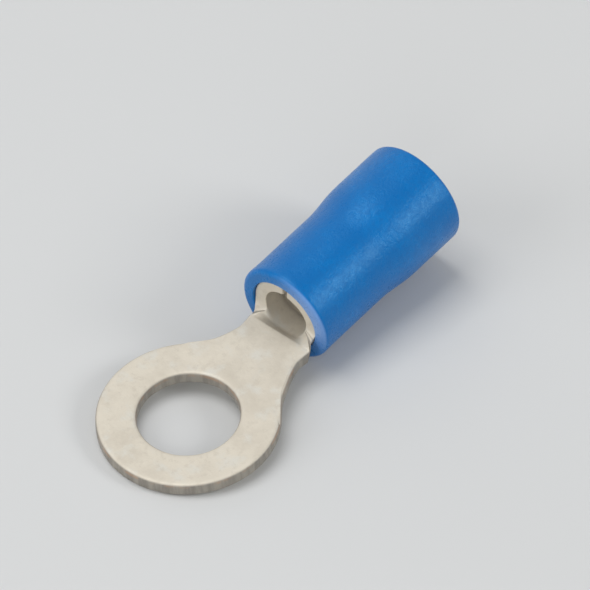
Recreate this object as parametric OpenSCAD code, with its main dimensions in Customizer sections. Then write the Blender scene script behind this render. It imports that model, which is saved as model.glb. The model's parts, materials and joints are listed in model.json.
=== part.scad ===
// Insulated crimp ring terminal: a stamped and rolled sheet-metal terminal with a moulded sleeve.
// Millimetres. The stud hole's axis is Z, with the origin in the tongue's underside.
// The wire comes in from +X, along the barrel.

/* [Ring tongue] */
// Diameter of the stud hole
stud_hole_d = 5.3; // [4.3:0.1:6.4]
// Outside diameter of the ring
ring_d = 9.5; // [8.6:0.1:11]
// Thickness of the sheet
sheet_t = 0.7; // [0.6:0.05:0.8]
// Size of the small bevel that stamping leaves round the upper edges
edge_bevel = 0.08; // [0.04:0.01:0.15]

/* [Neck and step] */
// Width of the neck at its narrowest
neck_w = 3.65; // [3.3:0.05:3.9]
// Radius that blends the ring into the neck
neck_blend_r = 6; // [4.5:0.25:6.5]
// Distance from the stud hole's axis to the crease where the sheet turns down
hole_to_crease = 6.96; // [6.86:0.02:7]
// Slope of the sheet between the tongue and the barrel's floor
step_angle = 48; // [45:1:52]
// Height of the barrel's axis over the tongue's underside
barrel_axis_z = 1.4; // [1.35:0.01:1.45]

/* [Barrel] */
// Distance from the stud hole's axis to the barrel's front edge
hole_to_barrel = 7.7; // [7.66:0.02:7.9]
// Length of the barrel
barrel_l = 5; // [4:0.1:6]
// Inside diameter of the barrel
barrel_bore_d = 2.7; // [2.5:0.05:2.9]
// Width of the seam between the rolled edges
seam_gap = 0.25; // [0.1:0.05:0.4]
// Radius of the inside corner between the neck and the barrel's front edge
notch_r = 0.4; // [0.25:0.05:0.5]
// Number of gripping grooves round the bore
groove_count = 3; // [1:1:3]
// Distance from one groove to the next
groove_pitch = 1.1; // [0.9:0.05:1.2]
// Width of a groove at the bore
groove_w = 0.45; // [0.3:0.05:0.6]
// Depth of a groove
groove_depth = 0.12; // [0.06:0.02:0.2]

/* [Sleeve] */
// How far the sleeve reaches past the barrel's front edge
sleeve_lead = 0.2; // [0:0.02:0.24]
// Length of the sleeve
sleeve_l = 10.6; // [9.8:0.05:12]
// Outside diameter of the grip over the barrel
grip_d = 5.6; // [5.3:0.05:5.8]
// Outside diameter of the tail
tail_d = 6.02; // [5.9:0.02:6.4]
// Inside diameter of the tail, for the wire's insulation
tail_bore_d = 4.5; // [4.3:0.05:4.9]
// Gap left between the barrel and the sleeve, on the radius
sleeve_clearance = 0.02; // [0.01:0.01:0.05]
// Distance from the barrel's rear edge back to where the shoulder starts
shoulder_lead = 0.3; // [0:0.1:0.6]
// Length of the shoulder from the grip to the tail
shoulder_l = 2.3; // [1.2:0.1:3]
// Radius of the sleeve's front edge
front_edge_r = 0.2; // [0.1:0.01:0.3]
// Radius of the inner edge of the sleeve's mouth
mouth_edge_r = 0.14; // [0.12:0.01:0.2]
// Radius of the sleeve's rear edges
rear_edge_r = 0.22; // [0.1:0.01:0.3]

/* [Hidden] */
$fn = 96;

ring_r = ring_d / 2;
neck_half_w = neck_w / 2;
bore_r = barrel_bore_d / 2;
barrel_r = bore_r + sheet_t;
barrel_mid_r = bore_r + sheet_t / 2;
barrel_end_x = hole_to_barrel + barrel_l;
// The neck's blend crosses the ring's edge by this much, so that the two outlines meet at a clean corner
blend_bite = 0.01;
blend_y = neck_half_w + neck_blend_r;
blend_reach = ring_r + neck_blend_r - blend_bite;
blend_x = sqrt(pow(blend_reach, 2) - pow(blend_y, 2));
blend_meet_x = blend_x * ring_r / blend_reach;
blend_meet_y = blend_y * ring_r / blend_reach;
// The neck's plate starts this far inside the ring
neck_root = 0.5;
// The formed step starts this far before the crease, where the flat plate ends
step_lead = 0.75;
step_start_x = hole_to_crease - step_lead;
// Radii of the step's bends: over and under the sheet, at the crease and at the foot
crease_r = 0.15;
crease_under_r = 0.1;
foot_r = 0.3;
foot_under_r = 0.55;
bend_segments = 6;
across_segments = 24;
// The formed step runs this far into the plate and into the barrel's wall
join_overlap = 0.1;
// and lies this far inside the plate's faces and the wall's, as the sheet thins where it is drawn down
plate_inset = 0.004;
wall_inset = 0.05;
// A section that has fallen by less than this share of the step stays flat
flat_share = 0.001;
// Cuts run this far past the faces that they open
overlap = 0.05;
tin_colour = [0.78, 0.75, 0.7];
sleeve_colour = [0.04, 0.36, 0.7];

sleeve_front_x = hole_to_barrel - sleeve_lead;
sleeve_end_x = sleeve_front_x + sleeve_l;
shoulder_x = barrel_end_x - shoulder_lead;
grip_r = grip_d / 2;
tail_r = tail_d / 2;
grip_bore_r = barrel_r + sleeve_clearance;
tail_bore_r = tail_bore_d / 2;
// The sleeve's bore widens just behind the barrel
funnel_gap = 0.15;
funnel_l = 1;
shoulder_segments = 10;
edge_segments = 4;

// Half the developed width of the sheet at a distance x from the stud hole, neck and notch together
function neck_half(x) =
    x < blend_x ? blend_y - sqrt(pow(neck_blend_r, 2) - pow(blend_x - x, 2)) : neck_half_w;
function notch_growth(x) =
    let(into = min(max(x - (hole_to_barrel - notch_r), 0), notch_r))
    notch_r - sqrt(max(pow(notch_r, 2) - pow(into, 2), 0));
function sheet_half(x) = neck_half(x) + notch_growth(x);

// Points [x, z] of an arc that turns a line down by step_angle (side = 1) or back level (side = -1),
// from the bend's corner
function bend_arc(corner_x, corner_z, r, side) = [
    for (i = [0:bend_segments])
        let(
            reach = r * tan(step_angle / 2),
            turn = step_angle * (side > 0 ? i : bend_segments - i) / bend_segments,
            end_x = side > 0 ? corner_x - reach : corner_x + reach
        )
        [end_x + side * r * sin(turn), corner_z - side * r * (1 - cos(turn))]
];

// Points [x, z] along the middle of one face of the step, from the plate to the barrel's wall
function step_line(crease_x, top_z, foot_z, top_r, low_r) = concat(
    [[step_start_x, top_z]],
    bend_arc(crease_x, top_z, top_r, 1),
    bend_arc(crease_x + (top_z - foot_z) / tan(step_angle), foot_z, low_r, -1),
    [[hole_to_barrel + join_overlap, foot_z]]
);

barrel_floor_z = barrel_axis_z - bore_r;
step_drop = sheet_t - barrel_floor_z;
upper_line = step_line(hole_to_crease, sheet_t, barrel_floor_z, crease_r, foot_r);
lower_line = step_line(hole_to_crease - sheet_t * tan(step_angle / 2), 0, barrel_floor_z - sheet_t,
    crease_under_r, foot_under_r);

// A point of the formed sheet: way is the distance from the centre line along the sheet,
// lift is the height over the sheet's underside, roll is the sheet's curvature there
function formed(low, high, roll, way, lift) =
    let(
        share = lift / sheet_t,
        x = low[0] + (high[0] - low[0]) * share,
        z = low[1] + (high[1] - low[1]) * share,
        r = roll > 0 ? 1 / roll + sheet_t / 2 - lift : 0,
        turn = way * roll * 180 / PI
    )
    roll > 0 ? [x, r * sin(turn), z + r * (1 - cos(turn))] : [x, way, z];

// One closed section across the formed sheet, with bevelled upper edges
function section(i) =
    let(
        low = lower_line[i],
        high = upper_line[i],
        fallen = (sheet_t - high[1] - low[1]) / (2 * step_drop),
        roll = (fallen > flat_share ? fallen : 0) / barrel_mid_r,
        inset = plate_inset + (wall_inset - plate_inset) * fallen,
        half = sheet_half((low[0] + high[0]) / 2) - inset,
        under = inset,
        over = sheet_t - inset
    )
    concat(
        [for (k = [0:across_segments])
            formed(low, high, roll, half * (2 * k / across_segments - 1), under)],
        [formed(low, high, roll, half, over - edge_bevel)],
        [for (k = [0:across_segments])
            formed(low, high, roll, (half - edge_bevel) * (1 - 2 * k / across_segments), over)],
        [formed(low, high, roll, -half, over - edge_bevel)]
    );

// The step between the flat plate and the barrel, as one closed skin over its sections
module formed_step() {
    rows = len(upper_line);
    ring = 2 * across_segments + 4;
    last = (rows - 1) * ring;
    // Number of the upper point that lies over lower point k
    function over(k) = ring - 2 - k;
    points = [for (i = [0:rows - 1]) each section(i)];
    sides = [
        for (i = [0:rows - 2], k = [0:ring - 1])
            let(a = i * ring + k, b = i * ring + (k + 1) % ring)
            each [[a, b + ring, b], [a, a + ring, b + ring]]
    ];
    end = concat(
        [for (k = [0:across_segments - 1])
            each [[k, k + 1, over(k + 1)], [k, over(k + 1), over(k)]]],
        [[across_segments, across_segments + 1, over(across_segments)], [0, over(0), ring - 1]]
    );
    back_end = [for (face = end) [last + face[2], last + face[1], last + face[0]]];
    polyhedron(points = points, faces = concat(sides, end, back_end), convexity = 6);
}

// A disc with its upper edge bevelled inwards
module bevelled_disc(r) {
    cylinder(h = sheet_t - edge_bevel, r = r);
    translate([0, 0, sheet_t - edge_bevel])
        cylinder(h = edge_bevel, r1 = r, r2 = r - edge_bevel);
}

// What is cut away beside the neck, with the bevel of its upper edge
module neck_side_cut() {
    translate([blend_x, blend_y, -overlap])
        cylinder(h = sheet_t + 2 * overlap, r = neck_blend_r);
    translate([blend_x, blend_y, sheet_t - edge_bevel])
        cylinder(h = edge_bevel + overlap, r1 = neck_blend_r, r2 = neck_blend_r + edge_bevel + overlap);
}

module flat_neck() {
    difference() {
        translate([blend_meet_x - neck_root, -blend_meet_y, 0])
            cube([step_start_x + join_overlap - blend_meet_x + neck_root, 2 * blend_meet_y, sheet_t]);
        neck_side_cut();
        mirror([0, 1, 0])
            neck_side_cut();
    }
}

module stud_hole() {
    translate([0, 0, -overlap])
        cylinder(h = sheet_t + 2 * overlap, d = stud_hole_d);
    translate([0, 0, sheet_t - edge_bevel])
        cylinder(h = edge_bevel + overlap, r1 = stud_hole_d / 2, r2 = stud_hole_d / 2 + edge_bevel + overlap);
}

// Everything along the barrel is drawn upright and laid along X by this
module along_barrel() {
    translate([hole_to_barrel, 0, barrel_axis_z])
        rotate([0, 90, 0])
            children();
}

module gripping_grooves() {
    first = barrel_l / 2 - groove_pitch * (groove_count - 1) / 2;
    for (i = [0:groove_count - 1])
        translate([0, 0, first + groove_pitch * i - groove_w / 2])
            cylinder(h = groove_w, r = bore_r + groove_depth);
}

module terminal() {
    color(tin_colour)
        difference() {
            union() {
                bevelled_disc(ring_r);
                flat_neck();
                formed_step();
                along_barrel()
                    cylinder(h = barrel_l, r = barrel_r);
            }
            stud_hole();
            along_barrel() {
                cylinder(h = barrel_l + overlap, r = bore_r);
                gripping_grooves();
                // The barrel's seam, on top
                translate([-barrel_r - overlap, -seam_gap / 2, -overlap])
                    cube([barrel_r, seam_gap, barrel_l + 2 * overlap]);
            }
        }
}

module sleeve() {
    shoulder = [
        for (i = [0:shoulder_segments])
            let(share = i / shoulder_segments)
            [grip_r + (tail_r - grip_r) * (1 - cos(180 * share)) / 2, shoulder_x + shoulder_l * share]
    ];
    // Points [r, x] of the wall's outline, from the mouth along the outside and back through the bore
    outline = concat(
        [for (i = [0:edge_segments])
            let(angle = 180 + 90 * i / edge_segments)
            [grip_bore_r + mouth_edge_r + mouth_edge_r * cos(angle),
                sleeve_front_x + mouth_edge_r + mouth_edge_r * sin(angle)]],
        [for (i = [0:edge_segments])
            let(angle = -90 + 90 * i / edge_segments)
            [grip_r - front_edge_r + front_edge_r * cos(angle),
                sleeve_front_x + front_edge_r + front_edge_r * sin(angle)]],
        shoulder,
        [for (i = [0:2 * edge_segments])
            let(angle = 90 * i / edge_segments, wide = angle <= 90 ? tail_r - rear_edge_r : tail_bore_r + rear_edge_r)
            [wide + rear_edge_r * cos(angle), sleeve_end_x - rear_edge_r + rear_edge_r * sin(angle)]],
        [[tail_bore_r, barrel_end_x + funnel_gap + funnel_l]],
        [[grip_bore_r, barrel_end_x + funnel_gap]]
    );
    color(sleeve_colour)
        translate([0, 0, barrel_axis_z])
            rotate([0, 90, 0])
                rotate_extrude()
                    polygon(outline);
}

terminal();
sleeve();
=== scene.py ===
"""Dresses an insulated ring terminal: a stamped and rolled metal terminal in a moulded vinyl sleeve."""

import json
import math

import bmesh
import bpy
from mathutils import Matrix, Vector


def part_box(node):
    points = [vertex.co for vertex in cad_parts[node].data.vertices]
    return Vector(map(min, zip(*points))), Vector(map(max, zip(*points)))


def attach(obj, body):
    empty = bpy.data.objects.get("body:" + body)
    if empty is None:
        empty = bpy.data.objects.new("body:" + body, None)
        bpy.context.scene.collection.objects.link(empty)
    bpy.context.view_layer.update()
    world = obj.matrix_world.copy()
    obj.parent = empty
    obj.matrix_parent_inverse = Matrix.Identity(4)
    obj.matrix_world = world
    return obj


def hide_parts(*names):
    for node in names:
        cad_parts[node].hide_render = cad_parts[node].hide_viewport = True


bl_info = {
    "name": "Ring terminal maker",
    "version": (1, 0, 0),
    "blender": (4, 5, 0),
    "location": "View3D > Sidebar > Ring terminal",
    "description": "Makes an insulated ring terminal and the stage that it lies on",
    "category": "Add Mesh",
}

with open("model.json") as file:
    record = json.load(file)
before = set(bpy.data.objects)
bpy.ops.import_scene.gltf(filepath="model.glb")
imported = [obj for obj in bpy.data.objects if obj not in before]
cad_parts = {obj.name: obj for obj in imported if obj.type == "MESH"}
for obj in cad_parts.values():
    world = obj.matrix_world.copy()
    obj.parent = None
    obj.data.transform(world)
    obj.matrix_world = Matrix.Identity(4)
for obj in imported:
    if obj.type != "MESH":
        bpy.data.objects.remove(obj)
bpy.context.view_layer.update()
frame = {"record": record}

MM = 0.001
# Vertices closer than this are one vertex
MERGE_DISTANCE = 1e-7
# A vertex this close to a line or a face counts as lying on it
NEAR = 0.001 * MM
# Edges that turn by less than this, in degrees, are shaded smooth
SMOOTH_ANGLE = 35

MOUNTS = {mount["name"]: mount for mount in frame["record"]["mounts"]}
TERMINAL_LOW, TERMINAL_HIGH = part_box("terminal")
SLEEVE_LOW, SLEEVE_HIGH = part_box("sleeve")

HOLE_R = MOUNTS["stud_hole"]["dims"]["r_mm"] * MM
BORE_R = MOUNTS["wire_barrel"]["dims"]["r_mm"] * MM
BORE_LENGTH = MOUNTS["wire_barrel"]["dims"]["length_mm"] * MM
TAIL_BORE_R = MOUNTS["insulation_entry"]["dims"]["r_mm"] * MM
AXIS_Z = MOUNTS["wire_barrel"]["pos_m"][2]
SHEET_T = MOUNTS["ring_top"]["pos_m"][2]


def length(name, description, default, low=0.0):
    """A length in metres that the panel shows."""
    return bpy.props.FloatProperty(
        name=name, description=description, default=default, min=low, unit="LENGTH", precision=6
    )


def angle(name, description, degrees):
    """An angle that the panel shows, given in degrees."""
    return bpy.props.FloatProperty(
        name=name, description=description, default=math.radians(degrees), unit="ROTATION"
    )


def colour(name, description, default):
    """A colour that the panel shows."""
    return bpy.props.FloatVectorProperty(
        name=name, description=description, default=default, subtype="COLOR", size=3, min=0, max=1
    )


def share(name, description, default):
    """A value between 0 and 1 that the panel shows."""
    return bpy.props.FloatProperty(
        name=name, description=description, default=default, min=0, max=1, subtype="FACTOR"
    )


class TerminalSizes(bpy.types.PropertyGroup):
    """Sizes of the metal terminal."""

    hole_r: length("Hole radius", "Radius of the stud hole", HOLE_R)
    ring_r: length("Ring radius", "Outside radius of the ring", -TERMINAL_LOW.x)
    sheet_t: length("Sheet thickness", "Thickness of the metal sheet", SHEET_T)
    neck_half: length("Neck half width", "Half the width of the neck at its narrowest", 1.825 * MM)
    blend_r: length("Blend radius", "Radius from the ring into the neck", 6 * MM)
    crease_x: length("Crease", "Distance from the hole to the crease of the step", 6.96 * MM)
    step_angle: angle("Step angle", "Slope of the sheet between the tongue and the barrel", 48)
    crease_r: length("Crease radius", "Radius of the crease on the upper face", 0.15 * MM)
    crease_under_r: length("Crease radius below", "Radius of the crease on the lower face", 0.1 * MM)
    foot_r: length("Foot radius", "Radius of the step's foot on the upper face", 0.3 * MM)
    foot_under_r: length("Foot radius below", "Radius of the step's foot on the lower face", 0.55 * MM)
    flare: length("Flare", "How far each side of the neck widens towards the barrel", 0.26 * MM)
    flare_l: length("Flare length", "Length over which the neck widens", 1.2 * MM)
    neck_shift: length("Neck shift", "How far the neck lies to one side of the barrel's axis", 0.19 * MM)
    notch_r: length("Notch radius", "Inside corner between the neck and the barrel", 0.5 * MM)
    bore_r: length("Barrel bore radius", "Inside radius of the barrel", BORE_R)
    axis_z: length("Barrel axis height", "Height of the barrel's axis over the underside", AXIS_Z)
    barrel_x: length("Barrel start", "Distance from the hole to the barrel", TERMINAL_HIGH.x - BORE_LENGTH)
    barrel_end: length("Barrel end", "Distance from the hole to the barrel's end", TERMINAL_HIGH.x)
    seam_gap: length("Seam gap", "Gap between the rolled edges", 0.25 * MM)
    seam_tuck: length("Seam tuck", "How far one rolled edge lies under the other", 0.06 * MM)
    groove_depth: length("Groove depth", "Depth of the gripping grooves", 0.12 * MM)
    groove_pitch: length("Groove pitch", "Distance between the gripping grooves", 1.1 * MM)
    groove_half: length("Groove half width", "Half the width of a groove's floor", 0.16 * MM)
    groove_side: length("Groove side", "Width of a groove's sloping side", 0.065 * MM)
    upper_edge_r: length("Upper edge", "Rounding of the sheet's upper edges", 0.16 * MM)
    lower_edge_r: length("Lower edge", "Rounding of the sheet's lower edges", 0.05 * MM)


class SleeveSizes(bpy.types.PropertyGroup):
    """Sizes of the vinyl sleeve."""

    front_x: length("Front", "Distance from the hole to the sleeve's front", SLEEVE_LOW.x + 0.04 * MM)
    rear_x: length("Rear", "Distance from the hole to the sleeve's rear", SLEEVE_HIGH.x)
    tail_r: length("Tail radius", "Outside radius of the tail", (SLEEVE_HIGH.z - SLEEVE_LOW.z) / 2)
    grip_r: length("Grip radius", "Outside radius over the barrel", 2.8 * MM)
    tail_bore_r: length("Tail bore radius", "Inside radius of the tail", TAIL_BORE_R)
    grip_gap: length("Grip gap", "Gap between the barrel and the sleeve", 0.02 * MM)
    shoulder_x: length("Shoulder", "Where the shoulder starts", TERMINAL_HIGH.x - 0.3 * MM)
    shoulder_l: length("Shoulder length", "Length of the shoulder", 2.3 * MM)
    front_edge_r: length("Front edge", "Rounding of the front edge", 0.28 * MM)
    mouth_edge_r: length("Mouth edge", "Rounding of the mouth's inner edge", 0.06 * MM)
    rear_edge_r: length("Rear edge", "Rounding of the rear edges", 0.22 * MM)
    lip: length("Lip", "How far the front end stands out from the grip", 0.03 * MM)
    funnel_gap: length("Funnel gap", "Gap between the barrel and the funnel in the bore", 0.15 * MM)
    funnel_l: length("Funnel length", "Length of the funnel behind the barrel", 1 * MM)
    waviness: length("Waviness", "Unevenness left by moulding", 0.008 * MM)


class Finishes(bpy.types.PropertyGroup):
    """Colours and gloss of the surfaces."""

    tin: colour("Tin", "Colour of the plated faces", (0.66, 0.605, 0.505))
    tin_dull: colour("Dull tin", "Colour of the duller patches", (0.56, 0.505, 0.415))
    tin_cool: colour("Cool tin", "Colour of the bluish patches", (0.645, 0.62, 0.55))
    # Painted shade in part: the cut edges' colour is darker than their own unplated metal, as the walls lie
    # in shade
    sheared: colour("Sheared edge", "Colour of the sheared edges", (0.24, 0.22, 0.19))
    copper: colour("Copper", "Colour of the bare metal along the sheared edges", (0.5, 0.3, 0.18))
    tin_roughness: share("Tin roughness", "Roughness of the plating", 0.46)
    tin_metallic: share("Tin metallic", "How metallic the plating looks", 0.2)
    vinyl: colour("Vinyl", "Colour of the sleeve", (0.002, 0.16, 0.48))
    vinyl_deep: colour("Deep vinyl", "Colour in the vinyl's darker clouds", (0.002, 0.132, 0.42))
    # Painted highlight: pale blue for the lit side of the sleeve's front edge
    vinyl_pale: colour("Pale vinyl", "Colour of the sleeve's rubbed front edge", (0.2, 0.34, 0.66))
    vinyl_roughness: share("Vinyl roughness", "Roughness of the sleeve", 0.29)
    vinyl_specular: share("Vinyl specular", "Strength of the sleeve's reflections", 0.5)
    vinyl_sheen: colour("Vinyl sheen", "Tint of the sleeve's reflections", (0.4, 0.8, 1))


class StageSettings(bpy.types.PropertyGroup):
    """The floor, the lamps and the camera."""

    floor_colour: colour("Floor", "Colour of the floor", (0.64, 0.645, 0.64))
    floor_roughness: share("Floor roughness", "Roughness of the floor", 0.6)
    floor_side: length("Floor side", "Length of the floor's side", 3.0)
    floor_gap: length("Floor gap", "Gap between the ring's tip and the floor", 0.01 * MM)
    sky_colour: colour("Sky", "Colour of the soft light from all round", (0.9, 0.92, 0.95))
    sky_strength: share("Sky strength", "Strength of the soft light from all round", 0.36)
    camera_azimuth: angle("Camera azimuth", "Turn of the camera round the terminal", -45.89)
    camera_elevation: angle("Camera elevation", "Height of the camera over the tongue's plane", 49.73)
    camera_roll: angle("Camera roll", "Roll of the camera", -4.74)
    camera_distance: length("Camera distance", "Distance from the aim point", 515.5 * MM)
    camera_lens: bpy.props.FloatProperty(
        name="Lens", description="Focal length in millimetres", default=610.17, min=1
    )
    aim: bpy.props.FloatVectorProperty(
        name="Aim", description="Point that the camera looks at",
        default=(10.585 * MM, 2.03 * MM, -1.335 * MM), unit="LENGTH", size=3, precision=6,
    )


# ---------------------------------------------------------------- editing helpers


def clear_selection():
    """Leaves edit mode and deselects every object."""
    if bpy.context.object and bpy.context.object.mode != "OBJECT":
        bpy.ops.object.mode_set(mode="OBJECT")
    bpy.ops.object.select_all(action="DESELECT")


def edit_mesh():
    """The mesh of the object that is being edited."""
    return bmesh.from_edit_mesh(bpy.context.object.data)


def update_edit():
    """Shows the changes made to the mesh that is being edited."""
    bmesh.update_edit_mesh(bpy.context.object.data)


def pick_verts(test):
    """Selects the vertices that pass the test, with the edges and faces between them."""
    bpy.ops.mesh.select_mode(type="VERT")
    bpy.ops.mesh.select_all(action="DESELECT")
    mesh = edit_mesh()
    for vert in mesh.verts:
        vert.select = test(vert.co)
    mesh.select_flush(True)
    update_edit()


def pick_edges(test):
    """Selects the edges that pass the test."""
    bpy.ops.mesh.select_mode(type="EDGE")
    bpy.ops.mesh.select_all(action="DESELECT")
    mesh = edit_mesh()
    mesh.normal_update()
    for edge in mesh.edges:
        edge.select = test(edge)
    update_edit()


def extrude_by(move):
    """Draws the selected vertices out and moves them."""
    bpy.ops.mesh.extrude_region_move(TRANSFORM_OT_translate={"value": move})


def lay_row(points):
    """Puts the selected row of vertices, taken across the sheet, on the points given."""
    row = sorted((vert for vert in edit_mesh().verts if vert.select), key=lambda vert: vert.co.y)
    for vert, point in zip(row, points, strict=True):
        vert.co = (point[0], point[1], 0)
    update_edit()


def add_modifier(piece, kind, **settings):
    """Adds a modifier and applies it at once."""
    modifier = piece.modifiers.new(kind.title(), kind)
    for name, value in settings.items():
        setattr(modifier, name, value)
    bpy.ops.object.modifier_apply(modifier=modifier.name)


def finish_piece(piece, name, material, replaced):
    """Names a piece, gives it its material, ties it to the body and hides the node it replaces."""
    piece.name = name
    piece.data.name = name
    piece.data.materials.clear()
    piece.data.materials.append(material)
    bpy.ops.object.shade_smooth_by_angle(angle=math.radians(SMOOTH_ANGLE))
    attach(piece, "root")
    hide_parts(replaced)


def mixed(first, second, part):
    """The point that lies the given part of the way from the first to the second."""
    return tuple(a + (b - a) * part for a, b in zip(first, second))


def smooth(value):
    """Rises gently from 0 to 1 while the value goes from 0 to 1."""
    value = min(max(value, 0.0), 1.0)
    return value * value * (3 - 2 * value)


def thinned(places, gap):
    """Drops the places that follow the one before more closely than the gap."""
    kept = places[:1]
    for place in places[1:]:
        if place - kept[-1] >= gap:
            kept.append(place)
    return kept


def spaced(low, high, count):
    """Evenly spaced places after the low end, up to the high end."""
    return [low + (high - low) * i / count for i in range(1, count + 1)]


def quarter(count):
    """Turns through a right angle, in the given number of steps."""
    return [math.pi / 2 * i / count for i in range(count + 1)]


def direction(azimuth, elevation):
    """The direction towards an azimuth and an elevation, from the terminal."""
    level = math.cos(elevation)
    return Vector((math.sin(azimuth) * level, -math.cos(azimuth) * level, math.sin(elevation)))


# ---------------------------------------------------------------- node helpers


class NodeBench:
    """Adds shader nodes to one material and links them."""

    def __init__(self, name):
        self.material = bpy.data.materials.new(name)
        self.material.use_nodes = True
        self.tree = self.material.node_tree
        self.surface = self.tree.nodes["Principled BSDF"]
        self.place = self.add("ShaderNodeTexCoord").outputs["Object"]

    def add(self, kind, **settings):
        node = self.tree.nodes.new(kind)
        for name, value in settings.items():
            setattr(node, name, value)
        return node

    def link(self, source, target):
        self.tree.links.new(source, target)

    def feed(self, node, **inputs):
        """Sets a node's inputs, each to a value or to another node's output."""
        for name, value in inputs.items():
            socket = node.inputs[name.replace("_", " ")]
            if isinstance(value, bpy.types.NodeSocket):
                self.link(value, socket)
            else:
                socket.default_value = value

    def noise(self, scale, detail=3.0, roughness=0.55, place=None):
        """A noise whose grains are about 1 / scale metres wide."""
        node = self.add("ShaderNodeTexNoise")
        self.feed(node, Vector=place or self.place, Scale=scale, Detail=detail, Roughness=roughness)
        return node.outputs["Fac"]

    def stretched(self, scale, shift=(0, 0, 0)):
        """The place on the piece, stretched and shifted for a pattern of its own."""
        node = self.add("ShaderNodeMapping")
        self.feed(node, Vector=self.place, Scale=scale, Location=tuple(part * MM for part in shift))
        return node.outputs["Vector"]

    def attribute(self, name):
        return self.add("ShaderNodeAttribute", attribute_name=name).outputs["Fac"]

    def remap(self, value, low, high, to_low=0.0, to_high=1.0):
        node = self.add("ShaderNodeMapRange", interpolation_type="SMOOTHSTEP")
        self.feed(node, Value=value, From_Min=low, From_Max=high, To_Min=to_low, To_Max=to_high)
        return node.outputs["Result"]

    def blend(self, factor, first, second):
        node = self.add("ShaderNodeMix", data_type="RGBA")
        for socket, value in ((0, factor), (6, first), (7, second)):
            if isinstance(value, bpy.types.NodeSocket):
                self.link(value, node.inputs[socket])
            elif socket:
                node.inputs[socket].default_value = (*value, 1)
            else:
                node.inputs[socket].default_value = value
        return node.outputs[2]

    def math(self, operation, first, second):
        node = self.add("ShaderNodeMath", operation=operation)
        for socket, value in enumerate((first, second)):
            if isinstance(value, bpy.types.NodeSocket):
                self.link(value, node.inputs[socket])
            else:
                node.inputs[socket].default_value = value
        return node.outputs["Value"]

    def bump(self, height, distance, strength=1.0, below=None):
        node = self.add("ShaderNodeBump")
        self.feed(node, Height=height, Distance=distance, Strength=strength)
        if below is not None:
            self.link(below, node.inputs["Normal"])
        return node.outputs["Normal"]


def tin_material(finish):
    """Matte tin plating with a fine pickled grain; cut edges are greyer and darker, partly their own unplated
    metal and partly painted shade, with a thin copper line.
    """
    bench = NodeBench("tin_plating")
    clouds = bench.noise(520, 4, 0.6)
    tint = bench.noise(900, 3, 0.6, bench.stretched((1, 1, 1), (7, 3, 5)))
    grain = bench.noise(6500, 3, 0.6)
    speckle = bench.noise(2600, 3, 0.65)
    streaks = bench.noise(2400, 3, 0.6, bench.stretched((1, 1, 0.15)))
    edge = bench.attribute("cut_edge")
    level = bench.attribute("sheet_level")

    face = bench.blend(bench.remap(clouds, 0.4, 0.7, 0.0, 0.7), finish.tin, finish.tin_dull)
    face = bench.blend(bench.remap(tint, 0.5, 0.7, 0.0, 0.8), face, finish.tin_cool)
    face = bench.blend(bench.remap(speckle, 0.5, 0.7, 0.0, 0.6), face, finish.tin_dull)
    # Cut edges: their own duller unplated metal, darkened further as painted shade on the walls
    bare = bench.math("MULTIPLY", edge, bench.remap(streaks, 0.36, 0.64, 0.75, 1.0))
    shade = bench.blend(bare, face, finish.sheared)
    line = bench.math("MULTIPLY", bench.remap(level, 0.68, 0.8), bench.remap(level, 0.84, 0.96, 1.0, 0.0))
    line = bench.math("MULTIPLY", line, bench.math("MULTIPLY", edge, bench.remap(tint, 0.45, 0.6, 0.0, 0.45)))
    shade = bench.blend(line, shade, finish.copper)

    roughness = bench.remap(grain, 0.3, 0.7, finish.tin_roughness - 0.06, finish.tin_roughness + 0.1)
    relief = bench.bump(clouds, 0.06 * MM, 0.5)
    relief = bench.bump(speckle, 0.014 * MM, 0.5, relief)
    relief = bench.bump(grain, 0.008 * MM, 0.6, relief)
    relief = bench.bump(bench.math("MULTIPLY", streaks, edge), 0.02 * MM, 0.6, relief)
    bench.feed(bench.surface, Base_Color=shade, Roughness=roughness, Normal=relief,
               Metallic=finish.tin_metallic)
    return bench.material


def vinyl_material(finish):
    """Soft satin vinyl with a fine moulded grain, faint drawn streaks along the sleeve and a painted
    highlight on one side of its front edge.
    """
    bench = NodeBench("blue_vinyl")
    clouds = bench.noise(380, 3, 0.5)
    grain = bench.noise(4200, 4, 0.7)
    pores = bench.noise(9000, 3, 0.6)
    drawn = bench.noise(1400, 3, 0.6, bench.stretched((0.12, 1, 1)))

    shade = bench.blend(bench.remap(clouds, 0.35, 0.65), finish.vinyl, finish.vinyl_deep)
    shade = bench.blend(bench.remap(grain, 0.4, 0.65), shade, finish.vinyl_deep)
    # Painted highlight: a paler blue on one side of the front edge, where light falls
    shade = bench.blend(bench.attribute("rubbed_edge"), shade, finish.vinyl_pale)
    roughness = bench.remap(grain, 0.3, 0.7, finish.vinyl_roughness - 0.04, finish.vinyl_roughness + 0.08)
    relief = bench.bump(clouds, 0.03 * MM, 0.3)
    relief = bench.bump(drawn, 0.02 * MM, 0.4, relief)
    relief = bench.bump(grain, 0.05 * MM, 0.6, relief)
    relief = bench.bump(pores, 0.02 * MM, 0.6, relief)
    bench.feed(bench.surface, Base_Color=shade, Roughness=roughness, Normal=relief,
               Specular_IOR_Level=finish.vinyl_specular, Specular_Tint=(*finish.vinyl_sheen, 1))
    return bench.material


def floor_material(stage):
    """A pale matt floor, hardly mottled."""
    bench = NodeBench("pale_floor")
    mottle = bench.noise(40, 2, 0.5)
    pale = tuple(stage.floor_colour)
    shade = bench.blend(mottle, pale, tuple(FLOOR_MOTTLE * part for part in pale))
    bench.feed(bench.surface, Base_Color=shade, Roughness=stage.floor_roughness)
    return bench.material


# ---------------------------------------------------------------- the metal terminal

RING_SEGMENTS = 96
NECK_COLUMNS = 24
FLAP_COLUMNS = 12
BEND_ROWS = 6
NECK_ROWS = 10
NOTCH_ROWS = 4
# A new row is drawn out by this much before it is laid in its place
ROW_PULL = 0.1 * MM
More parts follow.
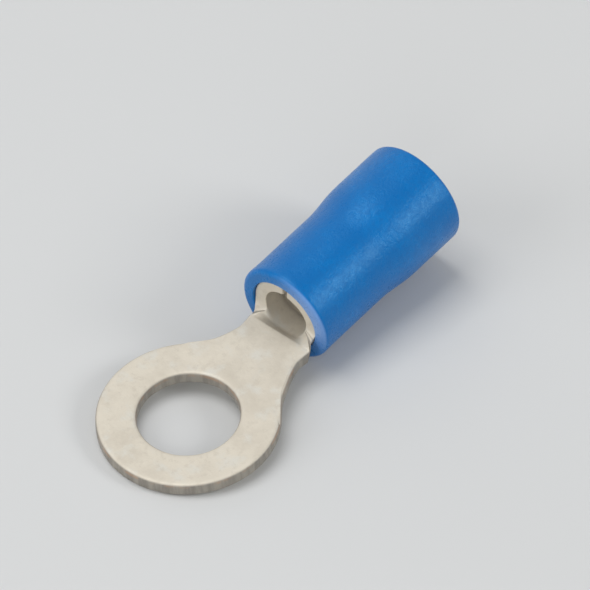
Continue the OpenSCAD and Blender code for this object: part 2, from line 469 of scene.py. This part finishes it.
# Rows closer than this are laid as one
ROW_GAP = 0.015 * MM
# The neck's rows are straight from this far before the crease
STRAIGHT_LEAD = 1.3 * MM
# Loops and grooves keep this far from the stamped edges
EDGE_MARGIN = 0.3 * MM
# The barrel has rows at these distances from either end
END_ROWS = (0.3 * MM, 0.7 * MM)
# The step's rows start this far before the crease
STEP_LEAD = 0.75 * MM
# The rounding of the upper edges loses this share of its size over this length at the notch
NOTCH_EASE = 0.65
NOTCH_TAPER = 0.3 * MM
BEVEL_SEGMENTS = 3
# A face whose normal rises less than this is a wall of the blank
STEEP_RISE = 0.5
# A row that has fallen by less than this share of the step stays flat
FLAT_SHARE = 1e-4


class SheetForm:
    """The terminal's flat blank, and how it is stepped down and rolled."""

    def __init__(self, sizes):
        self.s = sizes
        self.mid_r = sizes.bore_r + sizes.sheet_t / 2
        self.floor_z = sizes.axis_z - sizes.bore_r
        self.blend_y = sizes.neck_half + sizes.blend_r
        self.blend_x = math.sqrt((sizes.ring_r + sizes.blend_r) ** 2 - self.blend_y**2)
        self.touch_angle = math.atan2(self.blend_y, self.blend_x)
        self.touch_x = sizes.ring_r * math.cos(self.touch_angle)
        self.flap_half = math.pi * self.mid_r - sizes.seam_gap / 2
        self.neck_side = sizes.neck_half + sizes.flare + sizes.notch_r
        under_x = sizes.crease_x - sizes.sheet_t * math.tan(sizes.step_angle / 2)
        upper = self.face_line(sizes.crease_x, sizes.sheet_t, sizes.crease_r, sizes.foot_r)
        lower = self.face_line(under_x, 0, sizes.crease_under_r, sizes.foot_under_r)
        self.stations = [((low[0] + high[0]) / 2, low, high) for low, high in zip(lower, upper)]

    def face_line(self, corner_x, top_z, top_r, foot_r):
        """Points (x, z) along one face of the step, from the level tongue to the barrel's wall."""
        s = self.s
        drop = s.sheet_t - self.floor_z
        foot_x = corner_x + drop / math.tan(s.step_angle)
        return [
            (s.crease_x - STEP_LEAD, top_z),
            *self.bend(corner_x, top_z, top_r, 1),
            *self.bend(foot_x, top_z - drop, foot_r, -1),
            (s.barrel_x, top_z - drop),
        ]

    def bend(self, corner_x, corner_z, radius, way):
        """Points (x, z) of an arc that turns the face down (way 1) or back level (way -1)."""
        full = self.s.step_angle
        end_x = corner_x - way * radius * math.tan(full / 2)
        points = []
        for i in range(BEND_ROWS + 1):
            turn = full * (i if way > 0 else BEND_ROWS - i) / BEND_ROWS
            x = end_x + way * radius * math.sin(turn)
            points.append((x, corner_z - way * radius * (1 - math.cos(turn))))
        return points

    def neck_half(self, x):
        """Half the width of the flat blank at x, from the ring to the barrel."""
        s = self.s
        half = s.neck_half
        if x < self.blend_x:
            half = self.blend_y - math.sqrt(s.blend_r**2 - (self.blend_x - x) ** 2)
        notch_x = s.barrel_x - s.notch_r
        half += s.flare * smooth((x - notch_x) / s.flare_l + 1)
        into = min(max(x - notch_x, 0), s.notch_r)
        return half + s.notch_r - math.sqrt(max(s.notch_r**2 - into**2, 0))

    def middle(self, x):
        """Where the middle of the blank lies across the sheet; the ring and the barrel are on the axis."""
        s = self.s
        leaving = smooth((x - self.touch_x) / (s.ring_r - self.touch_x))
        return -s.neck_shift * leaving * smooth(2 * (s.barrel_x - x) / s.notch_r)

    def section(self, x):
        """Where the lower and the upper face lie for a row of the blank at x."""
        stations = self.stations
        if x <= stations[0][0]:
            return (x, 0), (x, self.s.sheet_t)
        for (x0, low0, high0), (x1, low1, high1) in zip(stations, stations[1:]):
            if x <= x1:
                part = (x - x0) / (x1 - x0)
                return mixed(low0, low1, part), mixed(high0, high1, part)
        return (x, self.floor_z - self.s.sheet_t), (x, self.floor_z)

    def formed(self, flat):
        """Where a point of the flat blank lies once the sheet is stepped down and rolled."""
        s = self.s
        low, high = self.section(flat.x)
        x, z = mixed(low, high, flat.z / s.sheet_t)
        fallen = (s.sheet_t - high[1] - low[1]) / (2 * (s.sheet_t - self.floor_z))
        if fallen < FLAT_SHARE:
            return Vector((x, flat.y, z))
        bend = fallen / self.mid_r
        turn = flat.y * bend
        radius = 1 / bend + s.sheet_t / 2 - flat.z
        centre_z = z + radius
        radius -= s.seam_tuck * smooth((-turn - math.pi / 2) / (math.pi / 2))
        return Vector((x, radius * math.sin(turn), centre_z - radius * math.cos(turn)))


class RINGTERMINAL_OT_terminal(bpy.types.Operator):
    """Stamps, forms and rolls the metal terminal"""

    bl_idname = "ring_terminal.terminal"
    bl_label = "Metal terminal"
    bl_options = {"REGISTER", "UNDO"}

    def execute(self, context):
        sizes = context.scene.terminal_sizes
        self.form = SheetForm(sizes)
        clear_selection()
        self.stamp_ring(sizes)
        self.draw_neck(sizes)
        self.draw_flaps(sizes)
        self.thicken(sizes)
        piece = context.object
        clear_selection()
        piece.select_set(True)
        self.round_edges(piece, sizes)
        self.roll(piece, sizes)
        add_modifier(piece, "SUBSURF", levels=1, render_levels=1)
        finish_piece(piece, "terminal_metal", tin_material(context.scene.finishes),
                     "terminal")
        return {"FINISHED"}

    def stamp_ring(self, sizes):
        """A circle at the hole, drawn out in loops to the ring's edge."""
        bpy.ops.mesh.primitive_circle_add(
            vertices=RING_SEGMENTS, radius=sizes.hole_r, fill_type="NOTHING", enter_editmode=True
        )
        radius = sizes.hole_r
        for goal in (sizes.hole_r + EDGE_MARGIN, (sizes.hole_r + sizes.ring_r) / 2,
                     sizes.ring_r - EDGE_MARGIN, sizes.ring_r):
            bpy.ops.mesh.extrude_region_move()
            bpy.ops.transform.resize(value=(goal / radius, goal / radius, 1), center_override=(0, 0, 0))
            radius = goal

    def draw_neck(self, sizes):
        """The ring's edge towards the barrel is drawn out row by row along the neck."""
        half_count = NECK_COLUMNS // 2
        reach = 2 * math.pi * (half_count + 0.5) / RING_SEGMENTS
        rim = sizes.ring_r - NEAR
        pick_verts(lambda co: co.length > rim and abs(math.atan2(co.y, co.x)) < reach)
        turns = [self.form.touch_angle * k / half_count for k in range(-half_count, half_count + 1)]
        arc = [(sizes.ring_r * math.cos(turn), sizes.ring_r * math.sin(turn)) for turn in turns]
        lay_row(arc)
        straight_x = sizes.crease_x - STRAIGHT_LEAD
        start_x = arc[0][0]
        for row in range(1, NECK_ROWS + 1):
            done = row / NECK_ROWS
            side_x = start_x + (straight_x - start_x) * done
            half, middle = self.form.neck_half(side_x), self.form.middle(side_x)
            points = []
            for k, (x, y) in zip(range(-half_count, half_count + 1), arc):
                ratio = y / arc[-1][1] * (1 - done) + k / half_count * done
                points.append((x + (straight_x - x) * done, half * ratio + middle))
            extrude_by((ROW_PULL, 0, 0))
            lay_row(points)
        self.draw_straight(sizes, straight_x, half_count)

    def draw_straight(self, sizes, start_x, half_count):
        """Straight rows through the step and along the barrel, closest together at the bends."""
        notch_x = sizes.barrel_x - sizes.notch_r
        bends = [station[0] for station in self.form.stations]
        notch = [sizes.barrel_x - sizes.notch_r * (1 - math.sin(turn)) for turn in quarter(NOTCH_ROWS)[1:-1]]
        rows = spaced(start_x, bends[0], 3) + bends[1:-1] + [notch_x] + notch + [sizes.barrel_x]
        rows = thinned(sorted(rows), ROW_GAP) + self.barrel_rows(sizes)
        for x in rows:
            half, middle = self.form.neck_half(x), self.form.middle(x)
            extrude_by((ROW_PULL, 0, 0))
            lay_row([(x, middle + half * k / half_count) for k in range(-half_count, half_count + 1)])

    def barrel_rows(self, sizes):
        """Rows along the barrel, with four at each gripping groove."""
        inner, outer = sizes.groove_half, sizes.groove_half + sizes.groove_side
        rows = [sizes.barrel_x + distance for distance in END_ROWS]
        for centre in groove_places(sizes):
            rows += [centre - outer, centre - inner, centre + inner, centre + outer]
        return rows + [sizes.barrel_end - distance for distance in reversed(END_ROWS)] + [sizes.barrel_end]

    def draw_flaps(self, sizes):
        """The barrel's two sides are drawn out flat, ready to be rolled."""
        side = self.form.neck_side
        step = (self.form.flap_half - side) / FLAP_COLUMNS
        for way in (1, -1):
            pick_verts(lambda co: co.x > sizes.barrel_x - NEAR and abs(co.y * way - side) < NEAR)
            for _ in range(FLAP_COLUMNS):
                extrude_by((0, way * step, 0))

    def thicken(self, sizes):
        """The flat blank gets its thickness."""
        bpy.ops.mesh.select_mode(type="VERT")
        bpy.ops.mesh.select_all(action="SELECT")
        extrude_by((0, 0, sizes.sheet_t))
        bpy.ops.mesh.select_all(action="SELECT")
        bpy.ops.mesh.remove_doubles(threshold=MERGE_DISTANCE)
        bpy.ops.mesh.normals_make_consistent(inside=False)

    def round_edges(self, piece, sizes):
        """Rounds the stamped edges, the upper ones most; at the notches and the barrel they stay sharper."""
        notch_x = sizes.barrel_x - sizes.notch_r
        mesh = bmesh.new()
        mesh.from_mesh(piece.data)
        mesh.normal_update()
        weight = mesh.edges.layers.float.new("bevel_weight_edge")
        for edge in mesh.edges:
            steep = [abs(face.normal.z) < STEEP_RISE for face in edge.link_faces]
            if len(steep) != 2 or steep[0] == steep[1]:
                continue
            middle = (edge.verts[0].co + edge.verts[1].co) / 2
            if middle.z < sizes.sheet_t / 2:
                edge[weight] = sizes.lower_edge_r / sizes.upper_edge_r
            else:
                edge[weight] = 1 - NOTCH_EASE * smooth((middle.x - notch_x) / NOTCH_TAPER + 0.5)
        mesh.to_mesh(piece.data)
        mesh.free()
        add_modifier(piece, "BEVEL", limit_method="WEIGHT", width=sizes.upper_edge_r,
                     segments=BEVEL_SEGMENTS, use_clamp_overlap=False)

    def roll(self, piece, sizes):
        """Marks the sheared edges, presses the gripping grooves, then steps and rolls the sheet."""
        mesh = piece.data
        mark = mesh.attributes.new("cut_edge", "FLOAT", "POINT")
        level = mesh.attributes.new("sheet_level", "FLOAT", "POINT")
        level.data.foreach_set("value", [vert.co.z / sizes.sheet_t for vert in mesh.vertices])
        grooves = groove_places(sizes)
        walls = [0.0] * len(mesh.vertices)
        mouth_x = sizes.barrel_x - sizes.notch_r / 2
        for face in mesh.polygons:
            if abs(face.normal.z) < STEEP_RISE:
                for index in face.vertices:
                    walls[index] = 1.0 if mesh.vertices[index].co.x < mouth_x else 0.0
        mark.data.foreach_set("value", walls)
        side = self.form.flap_half - EDGE_MARGIN
        for vert in mesh.vertices:
            flat = vert.co.copy()
            inside = flat.z > sizes.sheet_t - NEAR and abs(flat.y) < side
            if inside and any(abs(flat.x - centre) < sizes.groove_half + NEAR for centre in grooves):
                flat.z -= sizes.groove_depth
            vert.co = self.form.formed(flat)
        mesh.update()


def groove_places(sizes):
    """Middles of the three gripping grooves."""
    middle = (sizes.barrel_x + sizes.barrel_end) / 2
    return [middle + sizes.groove_pitch * i for i in (-1, 0, 1)]


# ---------------------------------------------------------------- the vinyl sleeve

SLEEVE_SEGMENTS = 64
# The lip keeps this share of its height up to the first distance from the front, and ends at the second
LIP_KEPT = 0.6
LIP_HOLDS = 0.5 * MM
LIP_ENDS = 0.9 * MM
# Extra loops keep the rounded mouth in shape: one on the front face, one in the bore
FACE_LOOP = 0.15 * MM
BORE_LOOP = 0.12 * MM
SHOULDER_LOOPS = 8
# What lies further out than this share of the grip's radius belongs to the outside
OUTSIDE_SHARE = 0.93
# The front edge gets a painted highlight, paler by this much at most, up to this share of its rounding
RUBBED = 0.8
RUBBED_DEPTH = 0.5
# The painted highlight reaches this share of the grip's radius across the axis, and this share below it, so
# it lies on the side where light falls
RUBBED_ACROSS = 0.3
RUBBED_LOW = 0.7
# Moulded waves: how many go round the sleeve, radians per metre along it, start and share
WAVES = ((2, 900, 0, 1.0), (3, -1500, 1, 0.6))


class RINGTERMINAL_OT_sleeve(bpy.types.Operator):
    """Moulds the vinyl sleeve from its profile"""

    bl_idname = "ring_terminal.sleeve"
    bl_label = "Vinyl sleeve"
    bl_options = {"REGISTER", "UNDO"}

    def execute(self, context):
        sizes = context.scene.sleeve_sizes
        terminal = context.scene.terminal_sizes
        profile = self.profile(sizes, terminal)
        clear_selection()
        first_r, first_x = profile[0]
        bpy.ops.mesh.primitive_circle_add(
            vertices=SLEEVE_SEGMENTS, radius=first_r, fill_type="NOTHING", enter_editmode=True,
            location=(first_x, 0, terminal.axis_z), rotation=(0, math.pi / 2, 0),
        )
        self.turn(profile, terminal.axis_z)
        piece = context.object
        clear_selection()
        piece.select_set(True)
        bpy.ops.object.transform_apply(location=True, rotation=True, scale=True)
        self.soften(piece, sizes, terminal.axis_z)
        add_modifier(piece, "SUBSURF", levels=2, render_levels=2)
        finish_piece(piece, "sleeve_vinyl", vinyl_material(context.scene.finishes),
                     "sleeve")
        return {"FINISHED"}

    def profile(self, sizes, terminal):
        """Points (radius, x) round the sleeve's wall: out along the outside, back through the bore."""
        bore = terminal.bore_r + terminal.sheet_t + sizes.grip_gap
        front, grip, tail_bore = sizes.front_x, sizes.grip_r, sizes.tail_bore_r
        mouth, edge, rear = sizes.mouth_edge_r, sizes.front_edge_r, sizes.rear_edge_r
        tail_x = sizes.rear_x - rear
        funnel_x = terminal.barrel_end + sizes.funnel_gap
        points = []
        for turn in quarter(3):
            points.append((bore + mouth - mouth * math.cos(turn), front + mouth - mouth * math.sin(turn)))
        points.append((bore + mouth + FACE_LOOP, front))
        for turn in quarter(4):
            radius = grip + sizes.lip - edge + edge * math.sin(turn)
            points.append((radius, front + edge - edge * math.cos(turn)))
        points += [(grip + sizes.lip * LIP_KEPT, front + LIP_HOLDS), (grip, front + LIP_ENDS)]
        points += [(grip, x) for x in spaced(front + LIP_ENDS, sizes.shoulder_x, 6)]
        for done in spaced(0, 1, SHOULDER_LOOPS):
            radius = grip + (sizes.tail_r - grip) * smooth(done)
            points.append((radius, sizes.shoulder_x + sizes.shoulder_l * done))
        points += [(sizes.tail_r, x) for x in spaced(points[-1][1], tail_x, 5)]
        for turn in quarter(4)[1:]:
            points.append((sizes.tail_r - rear + rear * math.cos(turn), tail_x + rear * math.sin(turn)))
        for turn in quarter(4):
            points.append((tail_bore + rear - rear * math.sin(turn), tail_x + rear * math.cos(turn)))
        points += [(tail_bore, x) for x in spaced(tail_x, funnel_x + sizes.funnel_l, 5)]
        points.append((bore, funnel_x))
        points += [(bore, x) for x in spaced(funnel_x, front + mouth + BORE_LOOP, 6)]
        return points

    def turn(self, profile, axis_z):
        """Draws the circle along the profile and joins the last loop to the first."""
        bpy.ops.mesh.select_all(action="SELECT")
        radius, x = profile[0]
        for next_r, next_x in profile[1:]:
            extrude_by((next_x - x, 0, 0))
            grow = next_r / radius
            bpy.ops.transform.resize(value=(1, grow, grow), center_override=(0, 0, axis_z))
            radius, x = next_r, next_x
        pick_edges(lambda edge: len(edge.link_faces) < 2)
        bpy.ops.mesh.bridge_edge_loops()
        bpy.ops.mesh.select_all(action="SELECT")
        bpy.ops.mesh.remove_doubles(threshold=MERGE_DISTANCE)
        bpy.ops.mesh.normals_make_consistent(inside=False)

    def soften(self, piece, sizes, axis_z):
        """Marks a painted highlight on the front edge, on the side where light falls, and gives the outside a
        slight moulded unevenness, always inwards.
        """
        outside = sizes.grip_r * OUTSIDE_SHARE
        mark = piece.data.attributes.new("rubbed_edge", "FLOAT", "POINT")
        rubbed_x = sizes.front_x + RUBBED_DEPTH * sizes.front_edge_r
        rubbed = []
        for vert in piece.data.vertices:
            x, y, z = vert.co
            # Painted highlight: paler on one side and above the axis, where light falls on the front edge
            across = smooth(RUBBED_ACROSS - y / sizes.grip_r)
            above = smooth((z - axis_z) / sizes.grip_r + RUBBED_LOW)
            rubbed.append(RUBBED * across * above if x < rubbed_x else 0.0)
        mark.data.foreach_set("value", rubbed)
        highest = sum(wave[-1] for wave in WAVES)
        for vert in piece.data.vertices:
            arm = Vector((0, vert.co.y, vert.co.z - axis_z))
            radius = arm.length
            if radius < outside:
                continue
            turn = math.atan2(arm.z, arm.y)
            wave = sum(part * math.sin(number * turn + along * vert.co.x + start)
                       for number, along, start, part in WAVES)
            arm *= (radius - sizes.waviness * (1 + wave / highest) / 2) / radius
            vert.co.y, vert.co.z = arm.y, arm.z + axis_z
        piece.data.update()


# ---------------------------------------------------------------- the stage

# Name, azimuth and elevation in degrees, distance and side in metres, power in watts
LAMPS = (
    ("key", 180, 75, 0.5, 0.3, 1.1),
    ("left", -112, 32, 0.6, 0.4, 1.1),
    ("front", -58, 24, 0.6, 0.4, 0.75),
    ("right", 32, 28, 0.6, 0.2, 1.0),
    ("behind", 152, 18, 0.6, 0.5, 0.35),
)
# The lamps are placed round this point and look at it
LAMP_AIM = (8 * MM, 0, 1 * MM)
# The floor's darker patches have this share of its colour
FLOOR_MOTTLE = 0.985
# Width of the camera's sensor in millimetres
SENSOR_WIDTH = 36


class RINGTERMINAL_OT_stage(bpy.types.Operator):
    """Sets out the floor that the terminal lies on, the lamps and the camera"""

    bl_idname = "ring_terminal.stage"
    bl_label = "Stage"
    bl_options = {"REGISTER", "UNDO"}

    def execute(self, context):
        stage = context.scene.stage_settings
        self.lay_floor(context, stage)
        self.hang_lamps(context, stage)
        self.set_camera(context, stage)
        context.scene.view_settings.view_transform = "Standard"
        return {"FINISHED"}

    def rest_tilt(self, context):
        """Slope of the surface under the ring's tip and the sleeve's front edge."""
        terminal, sleeve = context.scene.terminal_sizes, context.scene.sleeve_sizes
        drop = sleeve.grip_r - terminal.axis_z
        run = sleeve.front_x + sleeve.front_edge_r + terminal.ring_r
        return math.atan2(drop, run)

    def lay_floor(self, context, stage):
        """A wide level floor; as the part lies tilted on it, the floor is turned instead of the part."""
        terminal = context.scene.terminal_sizes
        tilt = self.rest_tilt(context)
        clear_selection()
        bpy.ops.mesh.primitive_plane_add(size=stage.floor_side, enter_editmode=True)
        bpy.ops.mesh.select_all(action="SELECT")
        bpy.ops.mesh.subdivide(number_cuts=3)
        floor = context.object
        clear_selection()
        tip = Vector((-terminal.ring_r, 0, -stage.floor_gap))
        floor.data.transform(Matrix.Translation(tip) @ Matrix.Rotation(tilt, 4, "Y"))
        floor.name = "floor"
        floor.data.materials.append(floor_material(stage))

    def hang_lamps(self, context, stage):
        """Soft lamps round the terminal, and a soft light from all round."""
        for name, azimuth, elevation, distance, side, power in LAMPS:
            back = direction(math.radians(azimuth), math.radians(elevation))
            data = bpy.data.lights.new(name, "AREA")
            data.size = side
            data.energy = power
            lamp = bpy.data.objects.new(name, data)
            lamp.location = Vector(LAMP_AIM) + back * distance
            lamp.rotation_euler = (-back).to_track_quat("-Z", "Y").to_euler()
            context.collection.objects.link(lamp)
        world = bpy.data.worlds.new("studio")
        context.scene.world = world
        world.use_nodes = True
        sky = world.node_tree.nodes["Background"]
        sky.inputs["Color"].default_value = (*stage.sky_colour, 1)
        sky.inputs["Strength"].default_value = stage.sky_strength

    def set_camera(self, context, stage):
        """A distant camera with a long lens that looks down on the ring's end."""
        back = direction(stage.camera_azimuth, stage.camera_elevation)
        data = bpy.data.cameras.new("camera")
        data.sensor_width = SENSOR_WIDTH
        data.lens = stage.camera_lens
        data.clip_start = 0.01
        data.clip_end = 10
        camera = bpy.data.objects.new("camera", data)
        level = (-back).to_track_quat("-Z", "Y").to_matrix().to_4x4()
        place = Matrix.Translation(Vector(stage.aim) + back * stage.camera_distance)
        camera.matrix_world = place @ level @ Matrix.Rotation(stage.camera_roll, 4, "Z")
        context.collection.objects.link(camera)
        context.scene.camera = camera


# ---------------------------------------------------------------- panel and main


class RINGTERMINAL_PT_panel(bpy.types.Panel):
    """Lists the terminal's pieces and their sizes."""

    bl_idname = "RINGTERMINAL_PT_panel"
    bl_label = "Ring terminal"
    bl_space_type = "VIEW_3D"
    bl_region_type = "UI"
    bl_category = "Ring terminal"

    def draw(self, context):
        for group in GROUPS:
            settings = getattr(context.scene, group)
            column = self.layout.column(align=True)
            for name in settings.bl_rna.properties.keys():
                if name not in ("rna_type", "name"):
                    column.prop(settings, name)
        for operator in PIECES:
            self.layout.operator(operator.bl_idname)


PIECES = (RINGTERMINAL_OT_stage, RINGTERMINAL_OT_terminal, RINGTERMINAL_OT_sleeve)
GROUPS = {
    "terminal_sizes": TerminalSizes,
    "sleeve_sizes": SleeveSizes,
    "finishes": Finishes,
    "stage_settings": StageSettings,
}
CLASSES = (*GROUPS.values(), *PIECES, RINGTERMINAL_PT_panel)


def register():
    for cls in CLASSES:
        bpy.utils.register_class(cls)
    for name, group in GROUPS.items():
        setattr(bpy.types.Scene, name, bpy.props.PointerProperty(type=group))


def unregister():
    for name in GROUPS:
        delattr(bpy.types.Scene, name)
    for cls in reversed(CLASSES):
        bpy.utils.unregister_class(cls)


def main():
    register()
    bpy.ops.ring_terminal.stage()
    bpy.ops.ring_terminal.terminal()
    bpy.ops.ring_terminal.sleeve()


if __name__ == "__main__":
    main()
